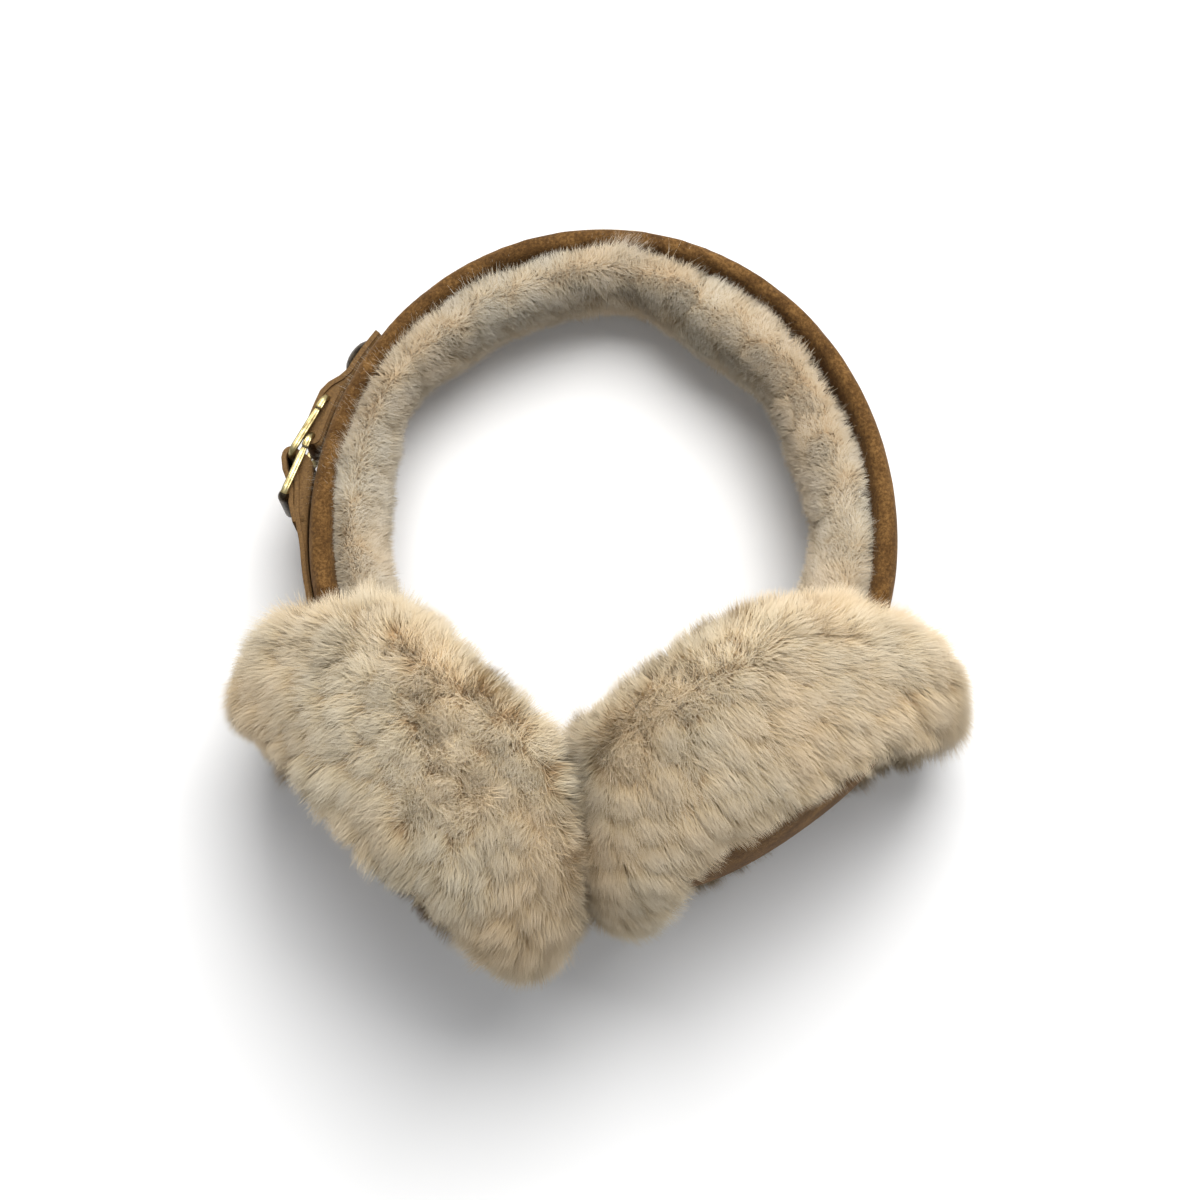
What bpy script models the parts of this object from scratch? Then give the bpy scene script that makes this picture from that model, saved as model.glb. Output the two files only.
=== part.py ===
"""Fur earmuffs: a suede headband lined with sheepskin, two thick sheepskin ear cups with
domed suede discs outside, and a suede strap closed by two stacked metal rings.

The earmuffs lie on their back on a flat surface, z = 0. The shapes are worked out in the
frame of the headband's arc: x to the right as seen from the front, y from the ears
up to the crown, z from the back of the band to its front, with the origin at the arc's
centre. lay() then turns that frame on to the surface. All lengths are in metres.
"""

import math

import bmesh
import bpy
import numpy as np
from mathutils import Matrix, Vector, noise

GAP = 0.0003  # between pieces that touch

# Headband, measured to its outer face
BAND_HALF_SPAN = 0.0814  # arc's centre to the outer face, sideways
BAND_RISE = 0.0862  # arc's centre to the outer face at the crown
BAND_WIDTH = 0.037
BAND_PAD = 0.0080  # thickness of the padded suede
BAND_CORNER = 3.2  # power of its rounded section: 2 is an ellipse, higher is squarer
BAND_END = 122.0  # degrees from the crown to each end, hidden in the cups

# Sheepskin lining inside the band
LINING_PILE = 0.0162
LINING_WIDTH = 0.0400
LINING_CORNER = 2.3
LINING_END = 114.0
LINING_SMOOTH = (90.0, 100.0)  # the locks fade out between these angles, before the cups

# Ear cups: ovals in the plan of the disc, measured over the fur
CUP_RADIUS = 0.0605  # along the band
CUP_HALF_DEPTH = 0.0530  # front to back
CUP_HALF_THICKNESS = 0.0275
CUP_CORNER = 2.15  # power of the oval
EAR_HOLLOW = 0.0035  # how far the middle of the ear side lies below its crest
LEFT_CENTRE_X = -0.0465
LEFT_CENTRE_Y = -0.0676
LEFT_TURN = -43.3  # degrees from x to the line of the disc, from the band's end down
RIGHT_CENTRE_X = 0.0380
RIGHT_CENTRE_Y = -0.0588
RIGHT_TURN = -145.1
MEETING_X = -0.0080  # where the cups press against each other
MEETING_Y = -0.0834
MEETING_TURN = 11.6  # degrees that this plane leans from the vertical

# Suede discs in the outer faces of the cups
DISC_RADIUS = 0.0420
DISC_SEAT = 0.0160  # mid plane of the cup to the floor of the disc's recess
DISC_EDGE = 0.0030  # height of the disc's edge
DISC_SEAT_SHARE = 0.97  # reach of its flat seat, as a share of DISC_RADIUS
LEFT_DOME = 0.0075  # height of the dome above the disc's edge
RIGHT_DOME = 0.0078

# Locks of fur
LOCK_SPACING = 0.0120
LOCK_RISE = 0.0030
SWELL_SPACING = 0.0340
SWELL_RISE = 0.0018
LOCK_SLOPE = 1.6  # how soon a lock rises from the parting beside it
LOCK_ROUND = 0.7  # power of a lock's rounded top
LOCK_MEAN = 0.7  # the share of its rise that lies on the form's own surface
CUP_SEED = 2
LINING_SEED = 5
SEED_SHIFT = (3.7, 1.3, 2.1)  # lock spacings between the patterns of two seeds

# Strap, with its stations in degrees from the crown down the left side
STRAP_WIDTH = 0.0190
STRAP_THICKNESS = 0.0014
STRAP_TOP = 49.5  # the upper strap ends here, past the rivet
STRAP_FOLD_END = 62.5  # its folded lower layer ends here
STRAP_ON_BAND = 58.6  # its upper layer comes down on the band here
STRAP_BOTTOM = 113.0  # the lower strap ends here, in the cup
STRAP_TAIL = 88.5  # free end of the lower strap
STRAP_LIFT = 94.0  # the lower strap leaves the band here
STRAP_STEP = 2.2  # between two cross sections
BAR_MARGIN = 0.6  # a straight run of strap stops this far from a bar's middle
TURN_LEAD = 5.0  # degrees round a bar before the strap's turn begins
TURN_SWEEP = 170.0  # degrees round a bar that the strap turns
TURN_STEPS = 9
TAIL_REST = 1.0  # the free end lies straight for this long each side of the bar
TAIL_DIP = 0.2  # it sinks past the bar by this share of STRAP_THICKNESS
TAIL_RISE = 0.3  # and ends this share of it above the layer below

# Rings of the closure
RING_WIRE = 0.0009  # radius of the wire
RING_LENGTH = 0.0190  # straight bar to free bar, between their middles
RING_INNER_WIDTH = 0.0206
RING_CORNER = 0.0024  # radius of the wire's middle line at the corners
RING_LIFT = 6.5  # degrees that the rings stand off the band's tangent
OUTER_RING_ANGLE = 65.0
INNER_RING_ANGLE = 72.4

# Rivet
RIVET_ANGLE = 54.4
RIVET_RADIUS = 0.0056
RIVET_HEIGHT = 0.0032
RIVET_SHANK = 0.0016
RIVET_LIP = 0.18  # height of the head's upright edge, as a share of RIVET_HEIGHT
RIVET_BITE = 0.0040  # depth of its shank in the band

# How the earmuffs lie: soft pieces flatten where they rest
FUR_SETTLE = 0.0045
PAD_SETTLE = 0.0012
CUP_DROP = -(LEFT_CENTRE_Y + RIGHT_CENTRE_Y) / 2
LIE_TILT = math.atan2(
    CUP_HALF_DEPTH - FUR_SETTLE - BAND_WIDTH / 2, BAND_RISE + CUP_DROP
)
PRESS_ROUND = 0.0030  # roundness of the edge of a pressed patch

# Mesh density
BAND_STATIONS = 50
BAND_SIDES = 12
LINING_STATIONS = 64
LINING_SIDES = 12
CUP_COLUMNS = 60
EAR_ROWS = (0.2, 0.4, 0.6, 0.8)  # shares of the reach from the ear side's middle to its crest
EAR_LOCKS = (0.15, 0.4, 0.7, 0.9)  # share of the locks' rise in each of these rows
SHOULDER_ROWS = 8
DISC_COLUMNS = 36
DISC_ROWS = (0.995, 0.96, 0.88, 0.76, 0.6, 0.4, 0.2)  # shares of DISC_RADIUS
DOME_POWER = 2.6  # of the disc's face: 2 is a parabola, higher is flatter in the middle
POCKET_START = 80.0  # degrees from the crown, where the pockets in the cups begin
POCKET_STATIONS = 18
WIRE_SIDES = 8
CORNER_STEPS = (0.0, 22.5, 45.0, 67.5, 90.0)  # degrees round a ring's corner
RIVET_SIDES = 16
DOME_STEPS = 6

# Depth of the pile round the lining, as a share of LINING_PILE, by degrees from the crown
LINING_SHARES = (
    (-125, 0.90),
    (-98, 0.86),
    (-80, 0.78),
    (-66, 0.74),
    (-54, 0.60),
    (-46, 0.72),
    (-30, 0.78),
    (-12, 0.88),
    (0, 0.80),
    (9, 0.77),
    (21, 1.08),
    (35, 1.04),
    (52, 1.00),
    (57, 0.96),
    (63, 1.03),
    (90, 1.08),
    (125, 1.03),
)

LINING_BLUR = (-6, -3, 0, 3, 6)  # degrees round a station over which these are averaged
LINING_FREE = -0.2  # the pile is in locks where its section lies further in than this

# Section of a cup at four places round it. Reaches are shares of CUP_RADIUS, heights are
# shares of CUP_HALF_THICKNESS, and fullness is the power of the rounded shoulder.
SECTION_COLUMNS = (
    "rim_reach",
    "rim_height",
    "ear_reach",
    "ear_height",
    "ear_fullness",
    "back_reach",
    "back_height",
    "back_fullness",
)
LEFT_SECTIONS = {
    "band_end": (0.99, 0.04, 0.56, 0.90, 1.60, 0.72, 0.93, 2.1),
    "front": (0.98, 0.00, 0.66, 1.06, 2.2, 0.74, 1.05, 2.3),
    "chin_end": (0.945, 0.35, 0.50, 0.97, 2.1, 0.75, 0.88, 2.4),
    "rear": (1.00, 0.00, 0.66, 0.97, 2.2, 0.74, 1.04, 2.3),
}
RIGHT_SECTIONS = {
    "band_end": (1.02, 0.42, 0.36, 0.84, 1.60, 0.74, 1.14, 2.4),
    "front": (0.98, 0.00, 0.64, 0.96, 2.1, 0.74, 0.90, 2.2),
    "chin_end": (1.00, 0.15, 0.62, 1.00, 2.1, 0.76, 0.92, 2.4),
    "rear": (1.00, 0.00, 0.64, 0.92, 2.1, 0.74, 0.82, 2.2),
}

# Soft swellings of a cup: degrees round it from the band's end towards the front, the
# height and the width as shares of CUP_RADIUS, and the rise as a share of LOCK_RISE
LEFT_SWELLS = (
    (8, -0.05, 0.16, 1.2),
    (20, 0.40, 0.22, 0.8),
    (100, 0.45, 0.30, 0.8),
    (150, 0.40, 0.25, 1.0),
    (180, 0.30, 0.22, 0.8),
    (95, -0.10, 0.28, -1.2),
)
RIGHT_SWELLS = (
    (-30, 0.40, 0.30, 1.3),
    (40, 0.10, 0.30, 0.9),
    (110, -0.30, 0.35, 0.9),
    (165, 0.35, 0.25, 1.0),
    (5, 0.40, 0.14, -0.8),
)


def material(name, colour, roughness, metallic=0.0):
    """A plain Principled material."""
    made = bpy.data.materials.new(name)
    made.use_nodes = True
    shader = made.node_tree.nodes["Principled BSDF"]
    shader.inputs["Base Color"].default_value = (*colour, 1.0)
    shader.inputs["Roughness"].default_value = roughness
    shader.inputs["Metallic"].default_value = metallic
    return made


def suede():
    return material("chestnut suede", (0.25, 0.12, 0.04), 0.95)


def sheepskin():
    return material("cream sheepskin", (0.80, 0.66, 0.50), 1.0)


def antique_brass():
    return material("antique brass", (0.45, 0.33, 0.15), 0.35, 1.0)


def dark_bronze():
    return material("dark bronze", (0.12, 0.09, 0.06), 0.40, 1.0)


def arc_point(angle, offset, depth):
    """A point by its angle from the crown in degrees, positive to +x, its distance outside
    the band's outer face and its distance in front of the band's middle."""
    turn = math.radians(angle)
    rise = BAND_RISE if math.cos(turn) > 0 else BAND_HALF_SPAN
    return (
        (BAND_HALF_SPAN + offset) * math.sin(turn),
        (rise + offset) * math.cos(turn),
        depth,
    )


def signed_power(values, power):
    return np.sign(values) * np.abs(values) ** power


def oval(sides, power):
    """Points of a unit superellipse, counter-clockwise."""
    turns = np.arange(sides) * 2 * math.pi / sides
    across = signed_power(np.cos(turns), 2 / power)
    along = signed_power(np.sin(turns), 2 / power)
    return list(zip(across, along))


def lie_height():
    """Height of the arc's centre when the crown of the band rests on the surface."""
    drops = [
        (BAND_RISE + offset) * math.sin(LIE_TILT) - depth * math.cos(LIE_TILT)
        for offset, depth in band_section()
    ]
    return max(drops) - PAD_SETTLE


def lay(points):
    """Turns points of the arc's frame on to the surface that the earmuffs lie on."""
    points = np.asarray(points, dtype=float)
    cos, sin = math.cos(LIE_TILT), math.sin(LIE_TILT)
    laid = points.copy()
    laid[..., 1] = points[..., 1] * cos + points[..., 2] * sin
    laid[..., 2] = points[..., 2] * cos - points[..., 1] * sin + lie_height()
    return laid


def rounded_limit(values, limit, spread):
    """Values held at or below a limit, with a change from free to held that is rounded
    over the spread on each side of it."""
    near = np.clip(spread - np.abs(values - limit), 0, None) / spread
    return np.minimum(values, limit) - near**2 * spread / 4


def settle(points, spread):
    """Flattens what would reach below the surface."""
    points = points.copy()
    points[..., 2] = -rounded_limit(-points[..., 2], 0.0, spread)
    return points


def press(points, side):
    """Flattens a cup where it meets the other one; side is -1 left of the meeting, 1 right."""
    lean = math.radians(MEETING_TURN)
    normal = np.array((math.cos(lean), math.sin(lean), 0.0)) * -side
    middle = np.array((MEETING_X, MEETING_Y, 0.0))
    reach = (points - middle) @ normal
    held = rounded_limit(reach, -GAP / 2, PRESS_ROUND)
    return points + (held - reach)[..., None] * normal


def mesh_object(name, rings, finish, loop=False, poles=None):
    """A closed body through rings of points: capped, joined end to end, or drawn to poles."""
    body = bmesh.new()
    rows = [[body.verts.new(point) for point in ring] for ring in rings]
    pairs = list(zip(rows, rows[1:]))
    if loop:
        pairs.append((rows[-1], rows[0]))
    for low, high in pairs:
        for k in range(len(low)):
            after = (k + 1) % len(low)
            body.faces.new((low[k], low[after], high[after], high[k]))
    if poles:
        for row, pole in zip((rows[0], rows[-1]), poles):
            tip = body.verts.new(pole)
            for k in range(len(row)):
                body.faces.new((row[k], row[(k + 1) % len(row)], tip))
    elif not loop:
        body.faces.new(rows[0])
        body.faces.new(rows[-1])
    bmesh.ops.recalc_face_normals(body, faces=body.faces)
    mesh = bpy.data.meshes.new(name)
    body.to_mesh(mesh)
    body.free()
    mesh.materials.append(finish)
    made = bpy.data.objects.new(name, mesh)
    bpy.context.collection.objects.link(made)
    return made


def shade_round(made, angle=50.0):
    made.data.shade_smooth()
    made.data.set_sharp_from_angle(angle=math.radians(angle))
    return made


def cutter(name, rings):
    """A closed body that only cuts others."""
    made = mesh_object(name, rings, suede())
    made.hide_render = True
    made.display_type = "WIRE"
    return made


def cut(body, tool, solver="EXACT"):
    step = body.modifiers.new("cut by " + tool.name, "BOOLEAN")
    step.operation = "DIFFERENCE"
    step.solver = solver
    step.object = tool


def surface_normals(grid):
    """Unit normals of a grid of points that closes on itself along its second axis."""
    along = np.gradient(grid, axis=0)
    around = np.roll(grid, -1, axis=1) - np.roll(grid, 1, axis=1)
    normals = np.cross(along, around)
    return normals / np.linalg.norm(normals, axis=2, keepdims=True)


def lock_height(point, seed):
    """Rise of the fur at a point: rounded locks on broad, soft swellings."""
    place = Vector(point)
    shift = Vector(SEED_SHIFT) * seed
    reaches = noise.voronoi(place / LOCK_SPACING + shift)[0]
    lock = min(1.0, LOCK_SLOPE * (reaches[1] - reaches[0])) ** LOCK_ROUND
    swell = noise.noise(place / SWELL_SPACING + shift)
    return LOCK_RISE * (lock - LOCK_MEAN) + SWELL_RISE * 2 * swell


def band_section(grow=0.0):
    """Rounded section of the suede: pairs of offset from the outer face and depth."""
    half_pad = BAND_PAD / 2 + grow
    half_width = BAND_WIDTH / 2 + grow
    points = oval(BAND_SIDES, BAND_CORNER)
    return [(half_pad * a - BAND_PAD / 2, half_width * b) for a, b in points]


def band_rings(first, last, stations, grow=0.0):
    section = band_section(grow)
    angles = np.linspace(first, last, stations)
    return [[arc_point(a, offset, depth) for offset, depth in section] for a in angles]


def lining_rings(first, last, stations, grow=0.0, locks=True):
    """The pile: flat against the suede, rounded and in locks on the free side. Grown for a
    pocket, it reaches into the suede's own pocket, so that the two cross cleanly."""
    table = np.array(LINING_SHARES)
    section = oval(LINING_SIDES, LINING_CORNER)
    seat = -BAND_PAD - GAP
    seat_middle = -BAND_PAD / 2 if grow else seat
    rings = []
    for angle in np.linspace(first, last, stations):
        nearby = np.interp(angle + np.array(LINING_BLUR), table[:, 0], table[:, 1])
        pile = LINING_PILE * nearby.mean()
        ring = []
        for outward, across in section:
            if abs(outward) < 0.01:
                offset = seat
            else:
                offset = seat_middle if outward > 0 else seat + pile * outward - grow
            depth = (LINING_WIDTH / 2 + grow) * across
            ring.append(arc_point(angle, offset, depth))
        rings.append(ring)
    grid = np.array(rings)
    if not locks:
        return grid
    fade_from, fade_to = LINING_SMOOTH
    angles = np.abs(np.linspace(first, last, stations))
    strength = np.clip((fade_to - angles) / (fade_to - fade_from), 0, 1)
    free = np.array([1.0 if outward < LINING_FREE else 0.0 for outward, _ in section])
    normals = surface_normals(grid)
    middle = grid.mean(axis=1, keepdims=True)
    facing = np.sign(np.sum(normals * (grid - middle), axis=2, keepdims=True))
    rises = np.array([[lock_height(p, LINING_SEED) for p in ring] for ring in grid])
    return grid + normals * facing * (rises * strength[:, None] * free)[..., None]


class Cup:
    """Place and sizes of one ear cup."""

    def __init__(self, side, x, y, turn, sections, swells, dome):
        self.side = side
        self.centre = np.array((x, y, 0.0))
        line = math.radians(turn)
        self.line = np.array((math.cos(line), math.sin(line), 0.0))
        self.out = np.array((self.line[1], -self.line[0], 0.0)) * -side
        self.sections = sections
        self.swells = swells
        self.dome = dome

    def point(self, angle, reach, height):
        """A point by its angle round the cup from the band's end, its reach in the plan of
        the cup and its height towards the outer face."""
        turn = math.radians(angle)
        along = signed_power(np.cos(turn), 2 / CUP_CORNER)
        depth = signed_power(np.sin(turn), 2 / CUP_CORNER) * CUP_HALF_DEPTH / CUP_RADIUS
        spot = self.centre - self.line * (reach * along) + self.out * height
        return spot + np.array((0.0, 0.0, reach * depth))

    def section(self, angle):
        """The cup's section at an angle round it, blended from the four named ones."""
        turn = math.radians(angle)
        weights = {
            "band_end": max(0.0, math.cos(turn)) ** 2,
            "front": max(0.0, math.sin(turn)) ** 2,
            "chin_end": max(0.0, -math.cos(turn)) ** 2,
            "rear": max(0.0, -math.sin(turn)) ** 2,
        }
        rows = sum(np.array(self.sections[k]) * w for k, w in weights.items())
        return dict(zip(SECTION_COLUMNS, rows))

    def outline(self, angle):
        """Reach and height of each row of the skin, from the ear side round to the recess."""
        shape = self.section(angle)
        rim, rim_at = shape["rim_reach"] * CUP_RADIUS, shape["rim_height"] * CUP_HALF_THICKNESS
        ear, ear_at = shape["ear_reach"] * CUP_RADIUS, -shape["ear_height"] * CUP_HALF_THICKNESS
        back = shape["back_reach"] * CUP_RADIUS
        back_at = shape["back_height"] * CUP_HALF_THICKNESS
        pole = EAR_HOLLOW - CUP_HALF_THICKNESS
        rows = [(ear * s, pole + (ear_at - pole) * s * s) for s in EAR_ROWS]
        for step in range(SHOULDER_ROWS):
            turn = math.pi / 2 * step / SHOULDER_ROWS
            power = 2 / shape["ear_fullness"]
            rows.append(
                (
                    ear + (rim - ear) * math.sin(turn) ** power,
                    rim_at + (ear_at - rim_at) * math.cos(turn) ** power,
                )
            )
        for step in range(SHOULDER_ROWS + 1):
            turn = math.pi / 2 * step / SHOULDER_ROWS
            power = 2 / shape["back_fullness"]
            rows.append(
                (
                    back + (rim - back) * max(0.0, math.cos(turn)) ** power,
                    rim_at + (back_at - rim_at) * math.sin(turn) ** power,
                )
            )
        return rows

    def skin(self):
        """Grid of points over the fur, locks and swellings included, before it is pressed."""
        angles = np.arange(CUP_COLUMNS) * 360 / CUP_COLUMNS
        columns = [[self.point(a, *row) for row in self.outline(a)] for a in angles]
        grid = np.array(columns).transpose(1, 0, 2)
        normals = surface_normals(grid)
        rim = len(EAR_ROWS) + SHOULDER_ROWS
        outward = np.sum(normals[rim] * (grid[rim] - self.centre), axis=1).mean()
        normals *= np.sign(outward)
        seed = CUP_SEED + self.side
        rises = np.array([[lock_height(p, seed) for p in row] for row in grid])
        for angle, height, width, rise in self.swells:
            spot = self.point(angle, CUP_RADIUS, height * CUP_RADIUS)
            away = np.linalg.norm(grid - spot, axis=2) / (width * CUP_RADIUS)
            rises += rise * LOCK_RISE * np.exp(-(away**2))
        # The locks fade out towards the middle of the ear side, where the rows close up.
        calm = np.ones(len(grid))
        calm[: len(EAR_LOCKS)] = EAR_LOCKS
        return grid + normals * (rises * calm[:, None])[..., None]

    def recess(self):
        """Wall and floor of the recess that the suede disc sits in."""
        angles = np.arange(CUP_COLUMNS) * 360 / CUP_COLUMNS
        rows = []
        for height in (DISC_SEAT + DISC_EDGE, DISC_SEAT):
            rows.append([self.point(a, DISC_RADIUS + GAP, height) for a in angles])
        return np.array(rows)


def cups():
    left = (LEFT_CENTRE_X, LEFT_CENTRE_Y, LEFT_TURN, LEFT_SECTIONS, LEFT_SWELLS, LEFT_DOME)
    right = (RIGHT_CENTRE_X, RIGHT_CENTRE_Y, RIGHT_TURN, RIGHT_SECTIONS, RIGHT_SWELLS, RIGHT_DOME)
    return {"left": Cup(-1, *left), "right": Cup(1, *right)}


def headband_suede():
    rings = band_rings(-BAND_END, BAND_END, BAND_STATIONS)
    rings = settle(lay(rings), PAD_SETTLE)
    return shade_round(mesh_object("headband_suede", rings, suede()))


def headband_fur():
    rings = lining_rings(-LINING_END, LINING_END, LINING_STATIONS)
    rings = settle(lay(rings), PAD_SETTLE)
    return shade_round(mesh_object("headband_fur", rings, sheepskin()), 80)


def cup_fur(name, cup):
    """The fur bun, flattened where it rests and where it meets the other cup, with pockets
    for the band's end. The pockets overlap each other, which the exact solver can't cut one
    after the other from this bumpy skin, so they use the manifold one."""
    rows = np.concatenate((cup.skin(), cup.recess()))
    rows = settle(lay(press(rows, cup.side)), PRESS_ROUND)
    ear_pole = cup.point(0, 0, EAR_HOLLOW - CUP_HALF_THICKNESS)
    floor_pole = cup.point(0, 0, DISC_SEAT)
    poles = [settle(lay(pole), PRESS_ROUND) for pole in (ear_pole, floor_pole)]
    made = mesh_object(name + "_cup_fur", rows, sheepskin(), poles=poles)
    start = POCKET_START * cup.side
    end = (BAND_END + degrees_along(GAP)) * cup.side
    pad = band_rings(start, end, POCKET_STATIONS, grow=GAP)
    cut(made, cutter(name + "_pad_pocket", lay(pad)), "MANIFOLD")
    end = (LINING_END + degrees_along(GAP)) * cup.side
    pile = lining_rings(start, end, POCKET_STATIONS, grow=GAP, locks=False)
    cut(made, cutter(name + "_pile_pocket", lay(pile)), "MANIFOLD")
    return shade_round(made, 80)


def cup_suede(name, cup):
    """The padded disc: flat against its seat, with a rounded edge and a domed face."""
    seat = DISC_SEAT + GAP
    rows = [(DISC_RADIUS * DISC_SEAT_SHARE, seat), (DISC_RADIUS, seat + DISC_EDGE / 2)]
    for share in DISC_ROWS:
        height = seat + DISC_EDGE + cup.dome * (1 - share**DOME_POWER)
        rows.append((DISC_RADIUS * share, height))
    angles = np.arange(DISC_COLUMNS) * 360 / DISC_COLUMNS
    rings = [[cup.point(a, reach, height) for a in angles] for reach, height in rows]
    poles = [cup.point(0, 0, seat), cup.point(0, 0, seat + DISC_EDGE + cup.dome)]
    poles = [lay(pole) for pole in poles]
    return shade_round(mesh_object(name + "_cup_suede", lay(rings), suede(), poles=poles), 60)


def layer(depth_of_layer):
    """Offset of the middle of a strap layer from the band: 0 is the lowest layer."""
    return GAP + STRAP_THICKNESS / 2 + depth_of_layer * (STRAP_THICKNESS + GAP)


def degrees_along(length):
    return math.degrees(length / BAND_HALF_SPAN)


def bar_offset():
    """Offset of a ring's straight bar, which lies on the lower layer of the upper strap."""
    return GAP + STRAP_THICKNESS + GAP + RING_WIRE


def ring_bars(angle):
    """Middles of a ring's straight bar and of its free bar."""
    bar = np.array(arc_point(-angle, bar_offset(), 0.0))
    ahead = np.array(arc_point(-angle - 0.5, bar_offset(), 0.0)) - bar
    line = ahead / np.linalg.norm(ahead)
    out = np.array((line[1], -line[0], 0.0))
    lift = math.radians(RING_LIFT)
    free = bar + RING_LENGTH * (line * math.cos(lift) + out * math.sin(lift))
    return bar, free


def turn_round(middle, start, sweep):
    """Points of a strap that turns round a bar, from its side that faces the band."""
    reach = RING_WIRE + GAP + STRAP_THICKNESS / 2
    points = []
    for step in range(TURN_STEPS):
        turn = math.radians(start + sweep * step / (TURN_STEPS - 1))
        points.append(middle[:2] + reach * np.array((math.cos(turn), math.sin(turn))))
    return points


def ribbon(route):
    """Rings of a strap of even thickness along a route in the plane of the arc."""
    route = np.array(route)
    ahead = np.gradient(route, axis=0)
    ahead /= np.linalg.norm(ahead, axis=1, keepdims=True)
    side = np.stack((-ahead[:, 1], ahead[:, 0]), axis=1) * STRAP_THICKNESS / 2
    half = STRAP_WIDTH / 2
    rings = []
    for spot, out in zip(route, side):
        corners = ((spot + out, half), (spot - out, half), (spot - out, -half), (spot + out, -half))
        rings.append([(*xy, depth) for xy, depth in corners])
    return lay(rings)


def eased(first, last, share):
    return first + (last - first) * (3 * share**2 - 2 * share**3)


def flank(stations):
    """Route points through stations of angle from the crown and offset, eased between."""
    points = []
    for (angle, offset), (next_angle, next_offset) in zip(stations, stations[1:]):
        steps = max(2, round(abs(next_angle - angle) / STRAP_STEP))
        for step in range(steps):
            share = step / steps
            here = angle + (next_angle - angle) * share
            spot = arc_point(-here, eased(offset, next_offset, share), 0.0)
            points.append(np.array(spot[:2]))
    angle, offset = stations[-1]
    points.append(np.array(arc_point(-angle, offset, 0.0)[:2]))
    return points


def strap_upper():
    """Under both straight bars, round the inner ring's one, back over both and on to the
    band, where the rivet holds it."""
    bar, _ = ring_bars(INNER_RING_ANGLE)
    over_bar = bar_offset() + RING_WIRE + GAP + STRAP_THICKNESS / 2
    inner_angle = INNER_RING_ANGLE - BAR_MARGIN
    under = flank([(STRAP_FOLD_END, layer(0)), (inner_angle, layer(0))])
    inward = math.degrees(math.atan2(-bar[1], -bar[0]))
    turn = turn_round(bar, inward - TURN_LEAD, -TURN_SWEEP)
    over = flank(
        [
            (inner_angle, over_bar),
            (OUTER_RING_ANGLE - BAR_MARGIN, over_bar),
            (STRAP_ON_BAND, layer(0)),
            (STRAP_TOP, layer(0)),
        ]
    )
    return mesh_object("strap_upper", ribbon(under + turn + over), suede())


def strap_lower():
    """Up from the cup under both free bars, back over the outer ring's bar, and down under
    the inner ring's bar to its free end."""
    _, outer_bar = ring_bars(OUTER_RING_ANGLE)
    _, inner_bar = ring_bars(INNER_RING_ANGLE)
    outer_angle, outer_offset = station_of(outer_bar)
    inner_angle, inner_offset = station_of(inner_bar)
    wrap = RING_WIRE + GAP + STRAP_THICKNESS / 2
    tail = inner_offset - wrap
    under = flank(
        [
            (STRAP_BOTTOM, layer(0)),
            (STRAP_LIFT, layer(0)),
            (inner_angle, tail - STRAP_THICKNESS - GAP),
            (outer_angle + BAR_MARGIN, outer_offset - wrap),
        ]
    )
    inward = math.degrees(math.atan2(-outer_bar[1], -outer_bar[0]))
    turn = turn_round(outer_bar, inward + TURN_LEAD, TURN_SWEEP)
    over = flank(
        [
            (outer_angle + BAR_MARGIN, outer_offset + wrap),
            (inner_angle - TAIL_REST, tail),
            (inner_angle + TAIL_REST, tail - TAIL_DIP * STRAP_THICKNESS),
            (STRAP_TAIL, layer(1) + TAIL_RISE * STRAP_THICKNESS),
        ]
    )
    return mesh_object("strap_lower", ribbon(under + turn + over), suede())


def station_of(spot):
    """Angle from the crown down the left side, and offset, of a point beside the band."""
    x, y = float(spot[0]), float(spot[1])
    offset = 0.0
    for _ in range(30):
        rise = BAND_RISE if y > 0 else BAND_HALF_SPAN
        angle = math.atan2(-x / (BAND_HALF_SPAN + offset), y / (rise + offset))
        on_band = arc_point(-math.degrees(angle), 0.0, 0.0)
        offset = math.hypot(x - on_band[0], y - on_band[1])
    return math.degrees(angle), offset


def ring(name, angle):
    """A rounded rectangle of wire: straight bar in the strap's fold, free bar outside it."""
    bar, free = ring_bars(angle)
    line = (free - bar) / RING_LENGTH
    out = np.array((line[1], -line[0], 0.0))
    across = np.array((0.0, 0.0, 1.0))
    middle = (bar + free) / 2
    half_length = RING_LENGTH / 2
    half_width = RING_INNER_WIDTH / 2 + RING_WIRE
    path = []
    for sign_line, sign_across, first in ((1, 1, 0), (-1, 1, 90), (-1, -1, 180), (1, -1, 270)):
        hub_line = sign_line * (half_length - RING_CORNER)
        hub_across = sign_across * (half_width - RING_CORNER)
        for extra in CORNER_STEPS:
            turn = math.radians(first + extra)
            facing = line * math.cos(turn) + across * math.sin(turn)
            hub = middle + line * hub_line + across * hub_across
            path.append((hub + RING_CORNER * facing, facing))
    rings = []
    for spot, facing in path:
        turns = np.arange(WIRE_SIDES) * 2 * math.pi / WIRE_SIDES
        rings.append([spot + RING_WIRE * (facing * math.cos(t) + out * math.sin(t)) for t in turns])
    return shade_round(mesh_object(name, lay(rings), antique_brass(), loop=True), 60)


def rivet_seat():
    """Offset of the underside of the rivet's head, which lies on one layer of strap."""
    return layer(0) + STRAP_THICKNESS / 2 + GAP


def rivet_frame():
    """Place of the rivet: the strap's outer face, turned so that z points out of it."""
    foot = np.array(arc_point(-RIVET_ANGLE, 0.0, 0.0))
    above = np.array(arc_point(-RIVET_ANGLE, rivet_seat(), 0.0))
    out = (above - foot) / np.linalg.norm(above - foot)
    side = np.array((0.0, 0.0, 1.0))
    return above, out, np.cross(side, out), side


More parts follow.
